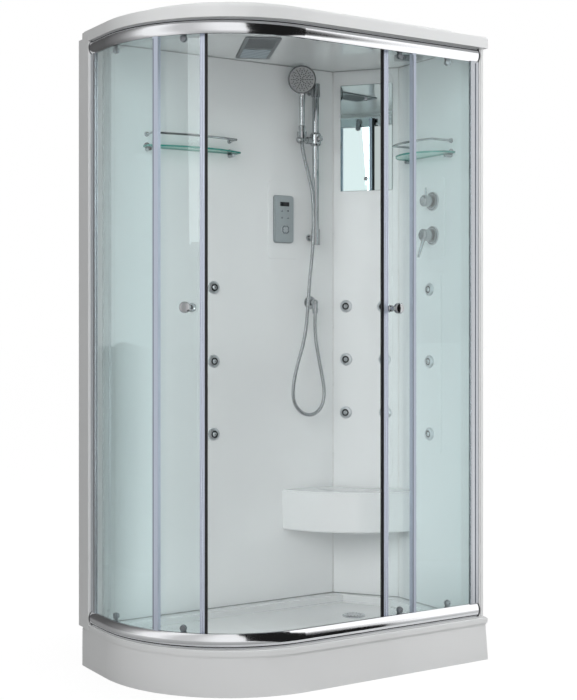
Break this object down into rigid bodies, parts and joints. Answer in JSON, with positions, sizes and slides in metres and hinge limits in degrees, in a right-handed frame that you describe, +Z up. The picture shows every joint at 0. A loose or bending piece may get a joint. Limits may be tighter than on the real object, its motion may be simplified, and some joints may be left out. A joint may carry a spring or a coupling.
{
  "type": "shower cabin",
  "caption": "Corner shower cabin with a curved front, two sliding glass doors, moulded wall panels, seat, shelves, mirror, body jets and hand shower.",
  "frame": {"origin": "on the floor, at the centre of the footprint of tray and roof", "axes": "+X along the back wall to the right seen from the front, +Y from the doors to the back wall, +Z up"},
  "size_m": [1.2, 0.7, 2.15],
  "materials": {
    "acrylic": "gloss",
    "foot_plastic": "matte",
    "pipe_plastic": "satin",
    "chrome": "polished",
    "satin_chrome": "satin",
    "clear_glass": "polished",
    "shelf_glass": "polished",
    "mirror_glass": "polished",
    "anodised": "satin",
    "bright_alu": "polished",
    "black_seal": "matte",
    "black_plastic": "matte",
    "grille_plastic": "matte",
    "grey_plastic": "satin",
    "lens_plastic": "frosted",
    "white_nylon": "satin",
    "panel_silver": "satin",
    "key_plastic": "satin",
    "brass": "cast",
    "hose_metal": "polished"
  },
  "bodies": {
    "cabin": {"shower_tray": "acrylic", "tray_feet": "foot_plastic", "drain_trap": "pipe_plastic", "back_wall_panel": "acrylic", "corner_panel": "acrylic", "right_wall_panel": "acrylic", "roof_canopy": "acrylic", "extractor_grille": "grille_plastic", "ceiling_light_lens": "lens_plastic", "speaker_grille": "grille_plastic", "bottom_rail": "bright_alu", "top_rail": "bright_alu", "rail_end_caps": "black_plastic", "wall_profiles": "anodised", "left_fixed_glass": "clear_glass", "right_fixed_glass": "clear_glass", "fixed_glass_strips": "anodised", "corner_seat": "acrylic", "wall_mirror": "mirror_glass", "shelf_glasses": "shelf_glass", "shelf_rails": "chrome", "riser_rail": "chrome", "riser_brackets": "chrome", "shower_hose": "hose_metal", "wall_elbow": "chrome", "body_jets": "satin_chrome", "control_panel_case": "panel_silver", "mixer_valve": "chrome"},
    "drain_cover": {"drain_cover": "chrome"},
    "extractor_fan": {"fan_impeller": "black_plastic"},
    "riser_slider": {"riser_slider": "chrome"},
    "clamp_knob": {"slider_clamp_knob": "chrome"},
    "handset_holder": {"handset_holder": "chrome"},
    "hand_shower": {"hand_shower": "chrome", "spray_plate": "grey_plastic"},
    "power_button": {"power_button": "key_plastic"},
    "light_button": {"light_button": "key_plastic"},
    "fan_button": {"fan_button": "key_plastic"},
    "radio_button": {"radio_button": "key_plastic"},
    "menu_pad": {"menu_pad": "key_plastic"},
    "mixer_lever": {"mixer_lever": "chrome"},
    "diverter_knob": {"diverter_knob": "chrome"},
    "right_door": {"right_door_glass": "clear_glass", "right_door_profile": "anodised", "right_door_seal": "black_seal", "right_door_knob": "chrome", "right_door_brackets": "satin_chrome"},
    "left_door": {"left_door_glass": "clear_glass", "left_door_profile": "anodised", "left_door_seal": "black_seal", "left_door_knob": "chrome", "left_door_brackets": "satin_chrome"},
    "right_wheel_top_front": {"right_wheel_top_front": "white_nylon"},
    "right_wheel_top_back": {"right_wheel_top_back": "white_nylon"},
    "right_wheel_low_front": {"right_wheel_low_front": "white_nylon"},
    "right_wheel_low_back": {"right_wheel_low_back": "white_nylon"},
    "left_wheel_top_front": {"left_wheel_top_front": "white_nylon"},
    "left_wheel_top_back": {"left_wheel_top_back": "white_nylon"},
    "left_wheel_low_front": {"left_wheel_low_front": "white_nylon"},
    "left_wheel_low_back": {"left_wheel_low_back": "white_nylon"}
  },
  "joints": [
    {"name": "right_door_slide", "type": "slide", "parent": "cabin", "child": "right_door", "axis": [1, 0, 0], "range_m": [-0.258, 0]},
    {"name": "left_door_slide", "type": "hinge", "parent": "cabin", "child": "left_door", "pos_m": [-0.128, 0.14, 1.1], "axis": [0, 0, 1], "range_deg": [0, 47]},
    {"name": "right_wheel_top_front_spin", "type": "hinge", "parent": "right_door", "child": "right_wheel_top_front", "pos_m": [0.266, -0.302, 2.0627], "axis": [0, 1, 0], "continuous": true},
    {"name": "right_wheel_low_front_spin", "type": "hinge", "parent": "right_door", "child": "right_wheel_low_front", "pos_m": [0.266, -0.302, 0.1653], "axis": [0, 1, 0], "continuous": true},
    {"name": "right_wheel_top_back_spin", "type": "hinge", "parent": "right_door", "child": "right_wheel_top_back", "pos_m": [0.467, -0.302, 2.0627], "axis": [0, 1, 0], "continuous": true},
    {"name": "right_wheel_low_back_spin", "type": "hinge", "parent": "right_door", "child": "right_wheel_low_back", "pos_m": [0.467, -0.302, 0.1653], "axis": [0, 1, 0], "continuous": true},
    {"name": "left_wheel_top_front_spin", "type": "hinge", "parent": "left_door", "child": "left_wheel_top_front", "pos_m": [-0.4656, -0.14529, 2.0627], "axis": [0.7638, 0.6455, 0], "continuous": true},
    {"name": "left_wheel_low_front_spin", "type": "hinge", "parent": "left_door", "child": "left_wheel_low_front", "pos_m": [-0.4656, -0.14529, 0.1653], "axis": [0.7638, 0.6455, 0], "continuous": true},
    {"name": "left_wheel_top_back_spin", "type": "hinge", "parent": "left_door", "child": "left_wheel_top_back", "pos_m": [-0.5699, 0.13074, 2.0627], "axis": [0.9998, 0.0209, 0], "continuous": true},
    {"name": "left_wheel_low_back_spin", "type": "hinge", "parent": "left_door", "child": "left_wheel_low_back", "pos_m": [-0.5699, 0.13074, 0.1653], "axis": [0.9998, 0.0209, 0], "continuous": true},
    {"name": "riser_slider_slide", "type": "slide", "parent": "cabin", "child": "riser_slider", "axis": [0, 0, 1], "range_m": [-0.288, 0], "deforming": ["shower_hose"]},
    {"name": "clamp_knob_turn", "type": "hinge", "parent": "riser_slider", "child": "clamp_knob", "pos_m": [0.316, 0.273, 1.828], "axis": [0, -1, 0], "range_deg": [0, 270]},
    {"name": "handset_holder_tilt", "type": "hinge", "parent": "riser_slider", "child": "handset_holder", "pos_m": [0.26, 0.2857, 1.822], "axis": [1, 0, 0], "range_deg": [-3, 10]},
    {"name": "hand_shower_turn", "type": "hinge", "parent": "handset_holder", "child": "hand_shower", "pos_m": [0.255, 0.285, 1.832], "axis": [-0.0462, -0.0739, 0.9962], "range_deg": [-40, 40]},
    {"name": "power_button_press", "type": "slide", "parent": "cabin", "child": "power_button", "axis": [0, 1, 0], "range_m": [0, 0.0012], "stiffness_N_per_m": 400},
    {"name": "light_button_press", "type": "slide", "parent": "cabin", "child": "light_button", "axis": [0, 1, 0], "range_m": [0, 0.0012], "stiffness_N_per_m": 400},
    {"name": "fan_button_press", "type": "slide", "parent": "cabin", "child": "fan_button", "axis": [0, 1, 0], "range_m": [0, 0.0012], "stiffness_N_per_m": 400},
    {"name": "radio_button_press", "type": "slide", "parent": "cabin", "child": "radio_button", "axis": [0, 1, 0], "range_m": [0, 0.0012], "stiffness_N_per_m": 400},
    {"name": "menu_pad_press", "type": "slide", "parent": "cabin", "child": "menu_pad", "axis": [0, 1, 0], "range_m": [0, 0.001], "stiffness_N_per_m": 600},
    {"name": "mixer_lever_turn", "type": "hinge", "parent": "cabin", "child": "mixer_lever", "pos_m": [0.56, -0.072, 1.461], "axis": [1, 0, 0], "range_deg": [-45, 45]},
    {"name": "diverter_knob_turn", "type": "hinge", "parent": "cabin", "child": "diverter_knob", "pos_m": [0.56, -0.072, 1.583], "axis": [1, 0, 0], "range_deg": [-60, 60]},
    {"name": "drain_cover_lift", "type": "slide", "parent": "cabin", "child": "drain_cover", "axis": [0, 0, 1], "range_m": [0, 0.12]},
    {"name": "extractor_fan_spin", "type": "hinge", "parent": "cabin", "child": "extractor_fan", "pos_m": [-0.06654, 0.04492, 2.1215], "axis": [0, 0, 1], "continuous": true}
  ],
  "couplings": [
    {"joint": "right_wheel_top_front_spin", "follows": "right_door_slide", "rad_per_m": 104.17},
    {"joint": "right_wheel_low_front_spin", "follows": "right_door_slide", "rad_per_m": -104.17},
    {"joint": "right_wheel_top_back_spin", "follows": "right_door_slide", "rad_per_m": 104.17},
    {"joint": "right_wheel_low_back_spin", "follows": "right_door_slide", "rad_per_m": -104.17},
    {"joint": "left_wheel_top_front_spin", "follows": "left_door_slide", "ratio": 46.042},
    {"joint": "left_wheel_low_front_spin", "follows": "left_door_slide", "ratio": -46.042},
    {"joint": "left_wheel_top_back_spin", "follows": "left_door_slide", "ratio": 46.042},
    {"joint": "left_wheel_low_back_spin", "follows": "left_door_slide", "ratio": -46.042}
  ]
}
